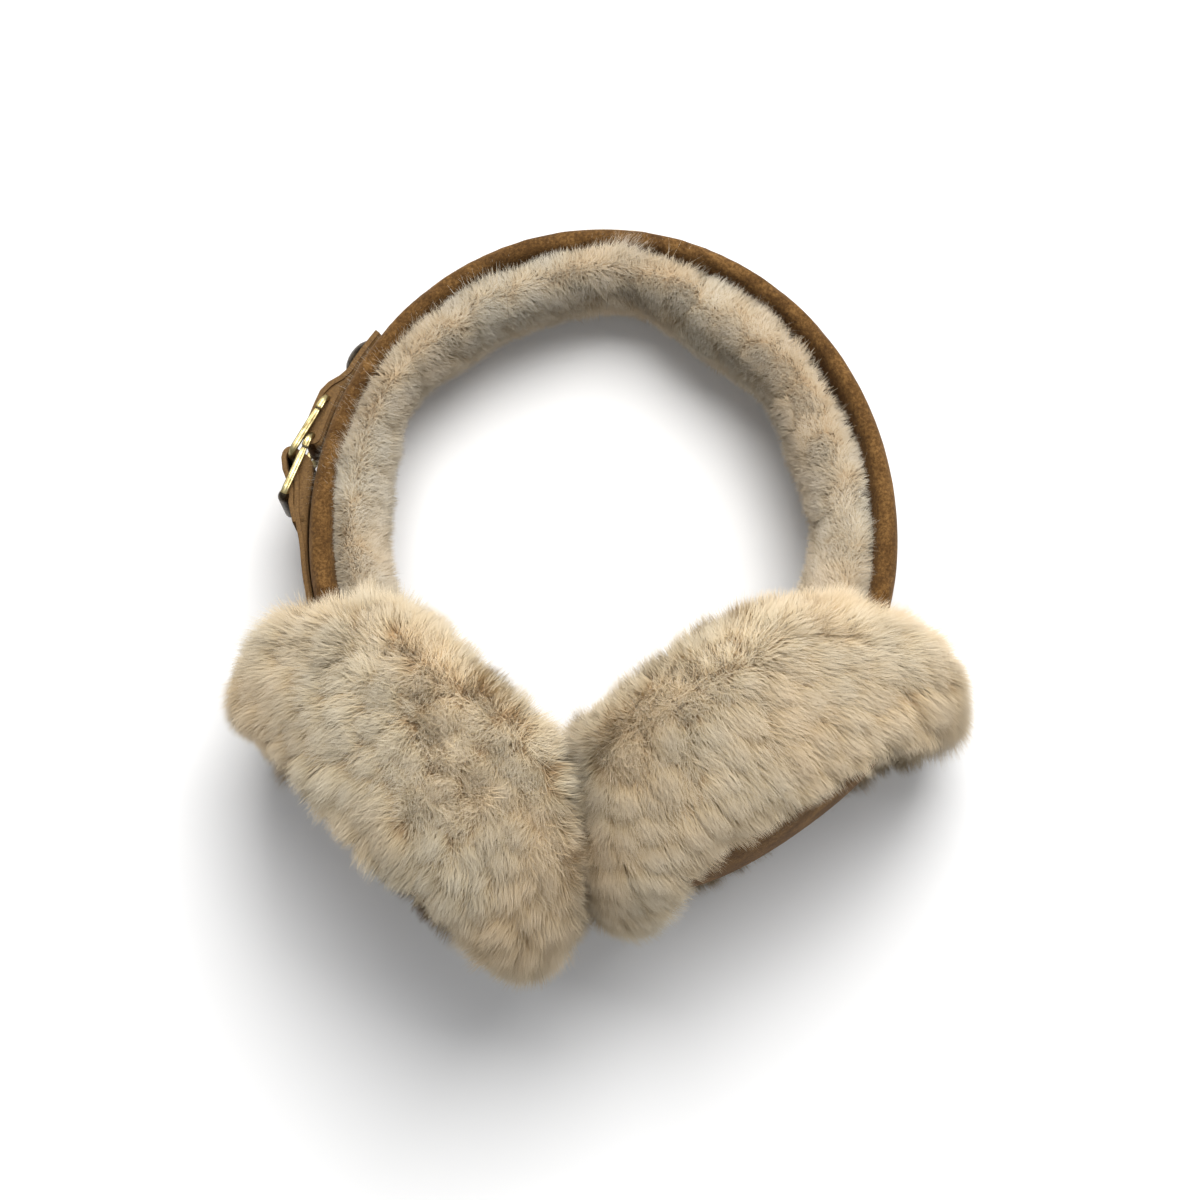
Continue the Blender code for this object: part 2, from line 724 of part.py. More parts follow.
def turned(frame, profile):
    """Rings of a body turned about the rivet's axis from pairs of radius and height."""
    base, out, east, north = frame
    rings = []
    for radius, height in profile:
        turns = np.arange(RIVET_SIDES) * 2 * math.pi / RIVET_SIDES
        rings.append(
            [base + out * height + radius * (east * math.cos(t) + north * math.sin(t)) for t in turns]
        )
    return rings


def strap_rivet():
    """Domed head on a shank that goes through the strap into the band."""
    depth = rivet_seat() + RIVET_BITE
    profile = [(RIVET_SHANK, -depth), (RIVET_SHANK, 0.0), (RIVET_RADIUS, 0.0)]
    lip = RIVET_HEIGHT * RIVET_LIP
    for step in range(DOME_STEPS):
        turn = math.pi / 2 * step / DOME_STEPS
        profile.append(
            (RIVET_RADIUS * math.cos(turn), lip + (RIVET_HEIGHT - lip) * math.sin(turn))
        )
    rings = turned(rivet_frame(), profile)
    return shade_round(mesh_object("strap_rivet", lay(rings), dark_bronze()), 40)


def rivet_hole(name, depth):
    """Cutter for the shank's hole, from above the strap down to a depth below its face."""
    profile = [(RIVET_SHANK + GAP, -depth - GAP), (RIVET_SHANK + GAP, RIVET_HEIGHT)]
    return cutter(name, lay(turned(rivet_frame(), profile)))


def strap_pocket():
    """Cutter for the lower strap's way into the left cup, open to the band's own pocket."""
    top, half = STRAP_THICKNESS + 2 * GAP, STRAP_WIDTH / 2 + GAP
    corners = ((top, half), (-BAND_PAD / 2, half), (-BAND_PAD / 2, -half), (top, -half))
    angles = np.linspace(STRAP_LIFT, STRAP_BOTTOM + degrees_along(GAP), POCKET_STATIONS)
    return cutter("strap_pocket", lay([[arc_point(-a, *c) for c in corners] for a in angles]))


def stand_over_origin(pieces):
    """Moves the pieces and their cutters level, so that the box round the pieces has its
    middle over the origin."""
    spots = np.concatenate([[v.co for v in piece.data.vertices] for piece in pieces])
    middle = (spots.min(axis=0) + spots.max(axis=0)) / 2
    shift = Matrix.Translation((-middle[0], -middle[1], 0.0))
    for made in bpy.data.objects:
        made.data.transform(shift)


def build():
    for old in list(bpy.data.objects):
        bpy.data.objects.remove(old, do_unlink=True)
    band = headband_suede()
    upper = strap_upper()
    pieces = [band, headband_fur(), upper, strap_lower(), strap_rivet()]
    hole = rivet_hole("rivet_hole", rivet_seat() + RIVET_BITE)
    cut(band, hole)
    cut(upper, hole)
    pieces.append(ring("ring_outer", OUTER_RING_ANGLE))
    pieces.append(ring("ring_inner", INNER_RING_ANGLE))
    for name, cup in cups().items():
        fur = cup_fur(name, cup)
        if name == "left":
            cut(fur, strap_pocket(), "MANIFOLD")
        pieces += [fur, cup_suede(name, cup)]
    stand_over_origin(pieces)


build()
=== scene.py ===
# %% [markdown]
# # Fur earmuffs
# The maker's frame is loaded first: every CAD solid in metres, where it belongs.

# %% Load the frame
import math

import bmesh
import bpy
import numpy as np
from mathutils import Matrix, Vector
from mathutils.bvhtree import BVHTree


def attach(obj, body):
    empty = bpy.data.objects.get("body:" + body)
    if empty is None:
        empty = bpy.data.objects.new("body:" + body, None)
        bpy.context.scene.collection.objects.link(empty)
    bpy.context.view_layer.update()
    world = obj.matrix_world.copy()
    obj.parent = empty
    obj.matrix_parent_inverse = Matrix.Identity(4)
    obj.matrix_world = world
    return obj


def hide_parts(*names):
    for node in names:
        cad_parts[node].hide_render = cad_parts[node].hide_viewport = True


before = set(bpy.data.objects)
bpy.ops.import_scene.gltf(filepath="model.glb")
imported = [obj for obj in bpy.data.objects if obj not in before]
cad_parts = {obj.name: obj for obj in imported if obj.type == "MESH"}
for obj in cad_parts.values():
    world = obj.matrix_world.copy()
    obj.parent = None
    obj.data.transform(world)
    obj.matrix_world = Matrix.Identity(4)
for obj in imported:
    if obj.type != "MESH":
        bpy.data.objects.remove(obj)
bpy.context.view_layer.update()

print("solids:", ", ".join(sorted(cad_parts)))

# %% [markdown]
# The earmuffs lie on their backs, with the crown of the band on the table and the cups
# standing on their edges, so the plane of the band leans a little, by the angle that the
# part's source works out. Two directions of the band are used again and again: up to its
# crown, and out of its front.

# %% Directions of the band
LIE_TILT = math.radians(11.354)
CROWNWARD = np.array((0.0, math.cos(LIE_TILT), -math.sin(LIE_TILT)))
FRONT = np.array((0.0, math.sin(LIE_TILT), math.cos(LIE_TILT)))
MM = 0.001


def node_points(name):
    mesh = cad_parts[name].data
    points = np.zeros(len(mesh.vertices) * 3)
    mesh.vertices.foreach_get("co", points)
    return points.reshape(-1, 3)


def unit(vectors):
    length = np.linalg.norm(vectors, axis=-1, keepdims=True)
    return vectors / np.maximum(length, 1e-9)


band_points = node_points("headband_suede")
RING_MIDDLE = (band_points.min(axis=0) + band_points.max(axis=0)) / 2
print("middle of the band:", RING_MIDDLE.round(4))

# %% [markdown]
# ## Camera, light and table
# The photograph looks straight down on the earmuffs from arm's length, so the camera stands
# 0.8 m above the table. The light is a large soft source above, beyond the crown and a little
# to the right, with a much weaker one from the side of the cups. The table is plain and
# almost white, and the Standard view transform leaves its colours as they are.

# %% Camera
IMAGE = 1200  # pixels, the photograph's side
CAMERA_PLACE = (-0.00095, -0.0008, 0.800)
PIXELS_AT_ONE_METRE = 2767.6
SENSOR = 36.0  # mm
camera_data = bpy.data.cameras.new("camera")
camera_data.sensor_width = SENSOR
camera_data.lens = PIXELS_AT_ONE_METRE * SENSOR / IMAGE
camera = bpy.data.objects.new("camera", camera_data)
camera.location = CAMERA_PLACE
bpy.context.scene.collection.objects.link(camera)
bpy.context.scene.camera = camera
bpy.context.scene.view_settings.view_transform = "Standard"
print("focal length, mm:", round(camera_data.lens, 2))


# %% Materials are built from a few small steps
def linear(code):
    """Linear red, green, blue and alpha of an sRGB hex colour."""
    parts = [int(code[k : k + 2], 16) / 255 for k in (1, 3, 5)]
    return [p / 12.92 if p <= 0.04045 else ((p + 0.055) / 1.055) ** 2.4 for p in parts] + [1.0]


def add(tree, kind, inputs=None, **settings):
    """Adds a node: settings are its properties, and inputs are values or sockets to link."""
    node = tree.nodes.new(kind)
    for name, value in settings.items():
        setattr(node, name, value)
    for key, value in (inputs or {}).items():
        if isinstance(value, bpy.types.NodeSocket):
            tree.links.new(value, node.inputs[key])
        else:
            node.inputs[key].default_value = value
    return node


def noise(tree, place, size, detail=3.0, rough=0.5, bend=0.0):
    """Noise whose blotches are about size metres across."""
    inputs = {"Vector": place, "Scale": 1 / size, "Detail": detail, "Roughness": rough}
    inputs["Distortion"] = bend
    return add(tree, "ShaderNodeTexNoise", inputs).outputs["Fac"]


def ramp(tree, value, stops):
    """Colour by value: stops are pairs of place and hex colour."""
    node = add(tree, "ShaderNodeValToRGB", {"Fac": value})
    points = node.color_ramp.elements
    while len(points) < len(stops):
        points.new(0.5)
    for point, (place, colour) in zip(points, stops):
        point.position = place
        point.color = linear(colour) if isinstance(colour, str) else (*[colour] * 3, 1.0)
    return node.outputs["Color"]


def mix(tree, share, a, b, how="MIX"):
    node = add(tree, "ShaderNodeMix", {0: share, 6: a, 7: b}, data_type="RGBA", blend_type=how)
    return node.outputs[2]


def calculate(tree, how, a, b=0.0):
    return add(tree, "ShaderNodeMath", {0: a, 1: b}, operation=how).outputs[0]


def principled(name):
    """A new material with its tree, its shader and Object coordinates."""
    made = bpy.data.materials.new(name)
    made.use_nodes = True
    tree = made.node_tree
    shader = tree.nodes["Principled BSDF"]
    place = add(tree, "ShaderNodeTexCoord").outputs["Object"]
    return made, tree, shader, place


def bump(tree, shader, height, along_less_edge_shade, strength=1.0):
    inputs = {"Height": height, "Distance": along_less_edge_shade, "Strength": strength}
    node = add(tree, "ShaderNodeBump", inputs)
    tree.links.new(node.outputs["Normal"], shader.inputs["Normal"])


# %% Table and light
def table_finish():
    made, tree, shader, place = principled("matt white table")
    tone = ramp(tree, noise(tree, place, 0.2), ((0.0, "#F4F3F1"), (1.0, "#F8F7F6")))
    tree.links.new(tone, shader.inputs["Base Color"])
    shader.inputs["Roughness"].default_value = 0.9
    return made


TABLE_SIZE = 6.0
TABLE_GAP = 0.2 * MM  # keeps its face clear of the undersides that lie on it
AIM = (0.0, 0.0, 0.03)  # about the middle of the earmuffs
bpy.ops.mesh.primitive_plane_add(size=TABLE_SIZE, location=(0.0, 0.0, -TABLE_GAP))
floor = bpy.context.object
floor.name = "table"
floor.data.materials.append(table_finish())


def soft_light(name, place, size, power):
    """A square soft box that faces the earmuffs."""
    data = bpy.data.lights.new(name, "AREA")
    data.size = size
    data.energy = power
    lamp = bpy.data.objects.new(name, data)
    lamp.location = place
    aim = Vector(AIM) - lamp.location
    lamp.rotation_euler = aim.to_track_quat("-Z", "Y").to_euler()
    bpy.context.scene.collection.objects.link(lamp)


soft_light("key", (0.20, 0.95, 1.40), 1.1, 43.0)
soft_light("fill", (0.5, -0.9, 1.3), 1.2, 1.0)
world = bpy.data.worlds.new("studio")
world.use_nodes = True
world.node_tree.nodes["Background"].inputs["Color"].default_value = linear("#F3F6FA")
world.node_tree.nodes["Background"].inputs["Strength"].default_value = 0.40
bpy.context.scene.world = world
print("lights:", ", ".join(light.name for light in bpy.data.lights))

# %% [markdown]
# ## Suede
# The band, the discs and the strap are chestnut suede, the flesh side of sheepskin buffed
# to a short nap. The nap lies this way and that, so suede is never one flat brown: it has
# soft lighter and darker strokes some millimetres long, and a fine grain of single fibres.


# %% Suede
def suede(name, dark="#3F2910", middle="#5C401F", light="#7F5D33"):
    """Chestnut suede: strokes in the nap, a grain of fibres, and no shine."""
    made, tree, shader, place = principled(name)
    strokes = noise(tree, place, 9 * MM, 2.0, 0.55, 0.6)
    grain = noise(tree, place, 0.9 * MM, 3.0, 0.75)
    mixed = calculate(tree, "MULTIPLY_ADD", grain, 1.5)
    tree.links.new(strokes, mixed.node.inputs[2])
    level = calculate(tree, "DIVIDE", mixed, 2.5)
    tone = ramp(tree, level, ((0.36, dark), (0.5, middle), (0.64, light)))
    tree.links.new(tone, shader.inputs["Base Color"])
    shader.inputs["Roughness"].default_value = 0.92
    shader.inputs["Specular IOR Level"].default_value = 0.2
    shader.inputs["Sheen Weight"].default_value = 0.12
    shader.inputs["Sheen Roughness"].default_value = 0.5
    shader.inputs["Sheen Tint"].default_value = linear("#C9A57A")
    bump(tree, shader, grain, 0.25 * MM, 0.6)
    return made


def edge_and_gap_shade_finish():
    """Darker cut edge of a suede strap, fibres pressed together; also painted shade under straps.
    """
    made, tree, shader, place = principled("cut suede edge and painted gap shade")
    grain = noise(tree, place, 0.5 * MM, 3.0, 0.7)
    tone = ramp(tree, grain, ((0.3, "#4E3516"), (0.7, "#7C5C30")))
    tree.links.new(tone, shader.inputs["Base Color"])
    shader.inputs["Roughness"].default_value = 0.85
    bump(tree, shader, grain, 0.2 * MM, 0.5)
    return made


SUEDE = suede("chestnut suede")
EDGE_AND_GAP_SHADE = edge_and_gap_shade_finish()
print("suede:", SUEDE.name, "and", EDGE_AND_GAP_SHADE.name)


# %% Meshes are copied from the frame and joined up before they are worked on
def copied(node, name):
    """A working copy of a CAD solid, its loose triangles joined."""
    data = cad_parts[node].data.copy()
    data.name = name
    joined = bmesh.new()
    joined.from_mesh(data)
    bmesh.ops.remove_doubles(joined, verts=joined.verts, dist=1e-6)
    bmesh.ops.recalc_face_normals(joined, faces=joined.faces)
    joined.to_mesh(data)
    joined.free()
    data.materials.clear()
    made = bpy.data.objects.new(name, data)
    bpy.context.scene.collection.objects.link(made)
    return made


def modified(made, kind, **settings):
    """Runs one modifier on a piece and keeps its result as a plain mesh."""
    step = made.modifiers.new(kind, kind)
    for name, value in settings.items():
        setattr(step, name, value)
    bpy.context.view_layer.update()
    graph = bpy.context.evaluated_depsgraph_get()
    mesh = bpy.data.meshes.new_from_object(made.evaluated_get(graph), depsgraph=graph)
    made.modifiers.clear()
    old, made.data = made.data, mesh
    mesh.name = made.name
    bpy.data.meshes.remove(old)
    return made


def points_of(made):
    points = np.zeros(len(made.data.vertices) * 3)
    made.data.vertices.foreach_get("co", points)
    return points.reshape(-1, 3)


def move_points(made, points):
    made.data.vertices.foreach_set("co", points.ravel())
    made.data.update()


def normals_of(made):
    normals = np.zeros(len(made.data.vertices) * 3)
    made.data.vertex_normals.foreach_get("vector", normals)
    return normals.reshape(-1, 3)


def triangles(made):
    made.data.calc_loop_triangles()
    return len(made.data.loop_triangles)


def give(made, *finishes):
    made.data.materials.clear()
    for finish in finishes:
        made.data.materials.append(finish)
    made.data.shade_smooth()
    return made


def keep(made, slot, *nodes):
    """Hangs a finished piece on the root empty and hides the CAD solids it stands for; slot is not
    used.
    """
    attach(made, "root")
    if nodes:
        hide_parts(*nodes)
    print(made.name, triangles(made), "triangles")
    return made


# %% [markdown]
# ## Padded suede of the band and the discs
# Foam under suede is never quite even: the skin is drawn tight at the edge and swells
# between. So each padded piece starts a little small, is rebuilt in even cells, and is
# blown up as cloth with a little pressure, held to less than a millimetre from its place.


# %% Padded suede
PRESSURE = 4.0
LAST_FRAME = 20


def swelled(node, name, cell, shrink, cap):
    """A padded piece blown up as cloth from the shape of its CAD solid."""
    made = copied(node, name)
    start = points_of(made) - normals_of(made) * shrink
    move_points(made, start)
    modified(made, "REMESH", mode="VOXEL", voxel_size=cell)
    modified(made, "SMOOTH", factor=0.5, iterations=4)
    start = points_of(made)
    cloth = made.modifiers.new("cloth", "CLOTH")
    cloth.settings.use_pressure = True
    cloth.settings.uniform_pressure_force = PRESSURE
    cloth.settings.effector_weights.gravity = 0.0
    cloth.settings.tension_stiffness = 40.0
    cloth.settings.bending_stiffness = 5.0
    for number in range(1, LAST_FRAME + 1):
        bpy.context.scene.frame_set(number)
    graph = bpy.context.evaluated_depsgraph_get()
    blown = made.evaluated_get(graph).to_mesh()
    ends = np.zeros(len(blown.vertices) * 3)
    blown.vertices.foreach_get("co", ends)
    made.modifiers.clear()
    bpy.context.scene.frame_set(1)
    moves = ends.reshape(-1, 3) - start
    reach = np.linalg.norm(moves, axis=1, keepdims=True)
    moves *= np.minimum(1.0, cap / np.maximum(reach, 1e-9))
    most = np.linalg.norm(moves, axis=1).max() / MM
    print(name, "swelled by up to", most.round(2), "mm")
    move_points(made, start + moves)
    modified(made, "SUBSURF", levels=1)
    return made


band = swelled("headband_suede", "padded_band", 2.2 * MM, 0.6 * MM, 0.8 * MM)
rested = points_of(band)
rested[:, 2] = np.maximum(rested[:, 2], 0.0)
move_points(band, rested)
keep(give(band, SUEDE), "band_suede", "headband_suede")

discs = {}
for side in ("left", "right"):
    disc = swelled(side + "_cup_suede", side + "_disc", 3.5 * MM, 0.5 * MM, 0.8 * MM)
    keep(give(disc, SUEDE), "disc_suede", side + "_cup_suede")
    discs[side] = disc

# %% [markdown]
# ## Sheepskin
# The lining and the cups are sheepskin with its pile left long. The skin below the pile is
# a smooth form, made from the CAD solid drawn in by part of the pile's length. What the pile
# needs is worked out at every point of the skin and stored there: the way out of the skin,
# the way it is combed, how much of it grows, and how long it is.


# %% Skins under the pile
def skin(node, name, rounds, levels):
    """The form under the pile: the CAD solid, smoothed and divided finely."""
    made = copied(node, name)
    modified(made, "SMOOTH", factor=0.5, iterations=rounds)
    modified(made, "SUBSURF", levels=levels)
    points = points_of(made)
    points[:, 2] = np.maximum(points[:, 2], 0.3 * MM)
    move_points(made, points)
    return made


def surface(name):
    """A CAD solid to measure distances from."""
    made = copied(name, "probe")
    tree = BVHTree.FromObject(made, bpy.context.evaluated_depsgraph_get())
    bpy.data.objects.remove(made)
    return tree


def distances(points, tree, most=0.05):
    return np.array([tree.find_nearest(Vector(p), most)[3] or most for p in points])


def ease(values, low, high):
    """0 below low, 1 above high, and smooth between."""
    share = np.clip((values - low) / (high - low), 0.0, 1.0)
    return share * share * (3 - 2 * share)


def attribute(made, name, values):
    """Stores a number or a direction at each point of a mesh."""
    kind = "FLOAT_VECTOR" if values.ndim == 2 else "FLOAT"
    held = made.data.attributes.new(name, kind, "POINT")
    held.data.foreach_set("vector" if values.ndim == 2 else "value", values.ravel())


def disc_place(side):
    """Middle of a cup's suede disc and the direction that it faces."""
    points = node_points(side + "_cup_suede")
    middle = (points.min(axis=0) + points.max(axis=0)) / 2
    _, _, axes = np.linalg.svd(points - points.mean(axis=0))
    facing = axes[2]
    return middle, facing * np.sign(facing @ (middle - RING_MIDDLE))


band_surface = surface("headband_suede")
lining_surface = surface("headband_fur")
cup_surface = {side: surface(side + "_cup_fur") for side in ("left", "right")}
print("surfaces to measure from:", 2 + len(cup_surface))

# %% [markdown]
# ### Skins of the cups
# The pile of a cup is combed from the middle of the ear side out to the rim and on to the
# suede disc, and is clipped short beside the disc. None grows where the band enters the cup
# or under the disc, and little where the two cups press on each other.

# %% Skins of the cups
PILE_SUNK = 2.5 * MM  # how far the skin lies below the CAD solid
cup_skins = {}
for side, other in (("left", "right"), ("right", "left")):
    made = skin(side + "_cup_fur", side + "_cup_skin", 4, 1)
    points, normals = points_of(made), normals_of(made)
    middle, facing = disc_place(side)
    disc_near = distances(points, surface(side + "_cup_suede"))
    hidden = np.minimum(
        distances(points, band_surface), distances(points, lining_surface)
    )
    spokes = points - middle
    spokes -= (spokes @ facing)[:, None] * facing
    comb = unit(np.cross(normals, np.cross(facing, unit(spokes))))
    comb *= 0.25 + 0.75 * ease(normals @ facing, -1.0, 0.3)[:, None]
    comb *= 0.3 + 0.7 * ease(disc_near, 1 * MM, 16 * MM)[:, None]
    cover = ease(hidden, 0.4 * MM, 1.2 * MM) * ease(disc_near, 0.8 * MM, 1.6 * MM)
    cover *= ease(distances(points, cup_surface[other]), 0.4 * MM, 2.0 * MM) * 0.9 + 0.1
    move_points(made, points - normals * (PILE_SUNK * ease(disc_near, -4 * MM, 6 * MM))[:, None])
    attribute(made, "out", normals)
    attribute(made, "comb", comb)
    attribute(made, "cover", cover)
    attribute(made, "pile", 0.35 + 0.65 * ease(disc_near, 1 * MM, 13 * MM))
    cup_skins[side] = made
    print(side, "disc at", middle.round(4), "facing", facing.round(3))

# %% [markdown]
# ### Skin of the lining
# The lining's pile stands out of the band and into the ring. Along the front edge it is a
# little raised and longer, and leans out over the suede. A second copy of the skin grows
# only there, in patches, for the loose wisps that stray on to the suede.

# %% Skin of the lining
LINING_SUNK = 1.8 * MM
FRONT_DEPTH = 8 * MM  # from the middle of the band to where the pile fully faces the front
made = skin("headband_fur", "lining_skin", 3, 2)
points, normals = points_of(made), normals_of(made)
beside_suede = distances(points, band_surface)
hidden = np.minimum(
    distances(points, cup_surface["left"]), distances(points, cup_surface["right"])
)
outward = points - RING_MIDDLE
outward -= (outward @ FRONT)[:, None] * FRONT
outward = unit(outward)
to_edge = 1 - ease(beside_suede, 1.0 * MM, 6.0 * MM)
ahead = np.clip((points - RING_MIDDLE) @ FRONT / FRONT_DEPTH, -1.0, 1.0)
facing_front = ahead[:, None] * FRONT
front_edge = (to_edge**2 * ease(ahead, 0.2, 0.8))[:, None]
lean_out = front_edge * 2.0 - 0.5
standing = unit(facing_front * 1.1 + outward * lean_out)
comb = facing_front * 0.35 + outward * (front_edge * 2.0 - 0.4)
cover = ease(beside_suede, 0.4 * MM, 0.6 * MM) * ease(hidden, 0.3 * MM, 1.5 * MM)
sink = LINING_SUNK * ease(beside_suede, 1.0 * MM, 6.0 * MM)
over_suede = facing_front * 1.2 + outward * 2.0
raised = front_edge * over_suede * MM
move_points(made, points - normals * sink[:, None] + raised)
attribute(made, "out", unit(normals * 0.2 + standing * 0.8))
attribute(made, "comb", comb)
attribute(made, "cover", cover)
attribute(made, "pile", 1.0 + 0.5 * front_edge[:, 0])
lining_skin = made
wisp_skin = bpy.data.objects.new("wisp_skin", made.data.copy())
around = np.arctan2(outward[:, 0], outward @ CROWNWARD)
patches = ease(np.sin(7 * around + 1.0) + np.sin(12 * around + 2.0), 0.0, 1.0)
stray = cover * ease(to_edge, 0.3, 0.8) * ease(ahead, 0.0, 0.2) * (0.15 + 0.85 * patches)
wisp_skin.data.attributes["cover"].data.foreach_set("value", stray)
print("share of the lining that wisps grow on:", round(float((stray > 0.5).mean()), 3))

# %% [markdown]
# ### The colour of the pile
# Each hair is tan where it leaves the skin and cream at its tip. Tufts differ a little from
# each other, and broad patches run from peach to a cool off-white. Hairs towards the edge of a
# tuft are painted darker, as shade in the partings between tufts.


# %% Pile
def pile_finish(name, root="#C0A27A", mid="#DFCCA8", tip="#EEE1C8"):
    """Undyed sheepskin pile, tan at the skin, cream at the tips, with painted shade at tuft edges.
    """
    made, tree, shader, place = principled(name)
    along = add(tree, "ShaderNodeAttribute", attribute_name="along").outputs["Fac"]
    tuft = add(tree, "ShaderNodeAttribute", attribute_name="tone").outputs["Fac"]
    tuft_edge_shade = add(tree, "ShaderNodeAttribute", attribute_name="tuft_edge_shade").outputs["Fac"]
    # Painted shade: towards the edge of a tuft the hairs take the darker root colour.
    along_less_edge_shade = calculate(tree, "MULTIPLY_ADD", tuft_edge_shade, -0.3)
    tree.links.new(along, along_less_edge_shade.node.inputs[2])
    base = ramp(tree, along_less_edge_shade, ((0.0, root), (0.35, mid), (0.8, tip)))
    patches = noise(tree, place, 38 * MM, 2.0, 0.5, 0.3)
    tint = ramp(tree, patches, ((0.35, "#FBF3EA"), (0.65, "#F4F5F6")))
    base = mix(tree, 1.0, base, tint, "MULTIPLY")
    shade = ramp(tree, tuft, ((0.0, 0.9), (1.0, 1.0)))
    base = mix(tree, 1.0, base, shade, "MULTIPLY")
    tree.links.new(base, shader.inputs["Base Color"])
    shader.inputs["Roughness"].default_value = 0.8
    shader.inputs["Specular IOR Level"].default_value = 0.15
    shader.inputs["Sheen Weight"].default_value = 0.1
    return made


PILE = pile_finish("sheepskin pile")
# Darker and greyer than the cups' pile: painted shade for the lining inside the band.
SHADED_SHORT_PILE = pile_finish("short sheepskin pile in painted shade", root="#BFAA8B", mid="#CABCA2", tip="#D9D0BF")
print("pile:", PILE.name, "and", SHADED_SHORT_PILE.name)

# %% [markdown]
# ### Growing the pile
# Hairs are scattered over the skin, and so are fewer, evenly spaced points that stand for
# the middles of tufts. A hair is one narrow blade, a single triangle with its root on the
# skin: it leans the way it was combed, a little differently in each tuft, and its tip is
# drawn to the middle of the nearest tuft. Where it would go through the table it lies on it.
# Its shading follows the skin and not the flat blade, so that the pile looks soft.

# %% Fur as geometry nodes
FUR_SIZES = (
    ("Density", 6.3e6),  # hairs on a square metre
    ("Length", 8 * MM),
    ("Width", 0.21 * MM),
    ("Tuft spacing", 4.0 * MM),
    ("Tuft pull", 0.25),
    ("Root lean", 0.45),
    ("Tip lean", 0.75),
    ("Tuft wander", 0.32),
    ("Hair wander", 0.22),
    ("Scatter", 0.5),  # how far shading turns to the sky, for light passed on inside the pile
)


def fur_tree():
    """Hairs on a skin, from the directions and shares that are stored on it."""
    tree = bpy.data.node_groups.new("fur", "GeometryNodeTree")
    sockets = tree.interface
    sockets.new_socket("Skin", in_out="INPUT", socket_type="NodeSocketGeometry")
    for name, value in FUR_SIZES:
        made = sockets.new_socket(name, in_out="INPUT", socket_type="NodeSocketFloat")
        made.default_value = value
    sockets.new_socket("Seed", in_out="INPUT", socket_type="NodeSocketInt")
    sockets.new_socket("Finish", in_out="INPUT", socket_type="NodeSocketMaterial")
    sockets.new_socket("Fur", in_out="OUTPUT", socket_type="NodeSocketGeometry")
    given = add(tree, "NodeGroupInput").outputs

    def vector(how, a, b=(0.0, 0.0, 0.0)):
        kind = "Scale" if how == "SCALE" else 1
        node = add(tree, "ShaderNodeVectorMath", {0: a, kind: b}, operation=how)
        return node.outputs["Vector"]

    def number(how, a, b=0.0):
        return add(tree, "ShaderNodeMath", {0: a, 1: b}, operation=how).outputs[0]

    def stored(name, vectors=True):
        kind = "FLOAT_VECTOR" if vectors else "FLOAT"
        node = add(tree, "GeometryNodeInputNamedAttribute", {"Name": name}, data_type=kind)
        return node.outputs["Attribute"]

    def store(shape, name, value, vectors=True):
        kind = "FLOAT_VECTOR" if vectors else "FLOAT"
        inputs = {"Geometry": shape, "Name": name, "Value": value}
        node = add(tree, "GeometryNodeStoreNamedAttribute", inputs, data_type=kind)
        return node.outputs["Geometry"]

    def chance(low, high, seed, index=None):
        vectors = isinstance(low, tuple)
        kind = "FLOAT_VECTOR" if vectors else "FLOAT"
        node = add(tree, "FunctionNodeRandomValue", data_type=kind)
        first = 0 if vectors else 2
        node.inputs[first].default_value = low
        node.inputs[first + 1].default_value = high
        tree.links.new(number("ADD", given["Seed"], float(seed)), node.inputs["Seed"])
        if index:
            tree.links.new(index, node.inputs["ID"])
        return node.outputs[0 if vectors else 1]

    place = add(tree, "GeometryNodeInputPosition").outputs[0]
    density = number("MULTIPLY", given["Density"], stored("cover", False))
    inputs = {"Mesh": given["Skin"], "Density": density, "Seed": given["Seed"]}
    hairs = add(tree, "GeometryNodeDistributePointsOnFaces", inputs).outputs["Points"]
    spacing = given["Tuft spacing"]
    most = number("DIVIDE", 2.0, number("MULTIPLY", spacing, spacing))
    inputs = {"Mesh": given["Skin"], "Distance Min": spacing, "Density Max": most}
    inputs["Seed"] = given["Seed"]
    node = add(
        tree, "GeometryNodeDistributePointsOnFaces", inputs, distribute_method="POISSON"
    )
    tufts = node.outputs["Points"]
    nearest = add(tree, "GeometryNodeSampleNearest", {"Geometry": tufts, "Sample Position": place})
    which = nearest.outputs["Index"]
    node = add(tree, "GeometryNodeSampleIndex", data_type="FLOAT_VECTOR")
    tree.links.new(tufts, node.inputs["Geometry"])
    tree.links.new(place, node.inputs["Value"])
    tree.links.new(which, node.inputs["Index"])
    both = ((-1.0, -1.0, -1.0), (1.0, 1.0, 1.0))
    hairs = store(hairs, "root", place)
    hairs = store(hairs, "hub", node.outputs[0])
    hairs = store(hairs, "turn", chance(*both, 11, which))
    hairs = store(hairs, "tone", chance(0.0, 1.0, 12, which), False)
    apart = vector("SUBTRACT", place, node.outputs[0])
    apart = add(tree, "ShaderNodeVectorMath", {0: apart}, operation="LENGTH").outputs["Value"]
    # How far a hair stands from its tuft's middle, used by the pile's finish for painted shade.
    hairs = store(hairs, "tuft_edge_shade", number("DIVIDE", apart, spacing), False)
    hairs = store(hairs, "whim", chance(*both, 13))
    blade = add(tree, "GeometryNodeMeshCircle", {"Vertices": 3, "Radius": 1.0}, fill_type="NGON")
    parts = add(tree, "ShaderNodeSeparateXYZ", {0: place})
    across = number("DIVIDE", parts.outputs[1], math.sqrt(0.75))
    blade = store(blade.outputs["Mesh"], "side", across, False)
    along = number("DIVIDE", number("ADD", parts.outputs[0], 0.5), 1.5)
    blade = store(blade, "along", along, False)
    node = add(tree, "GeometryNodeInstanceOnPoints", {"Points": hairs, "Instance": blade})
    fur = add(tree, "GeometryNodeRealizeInstances", {"Geometry": node.outputs[0]}).outputs[0]

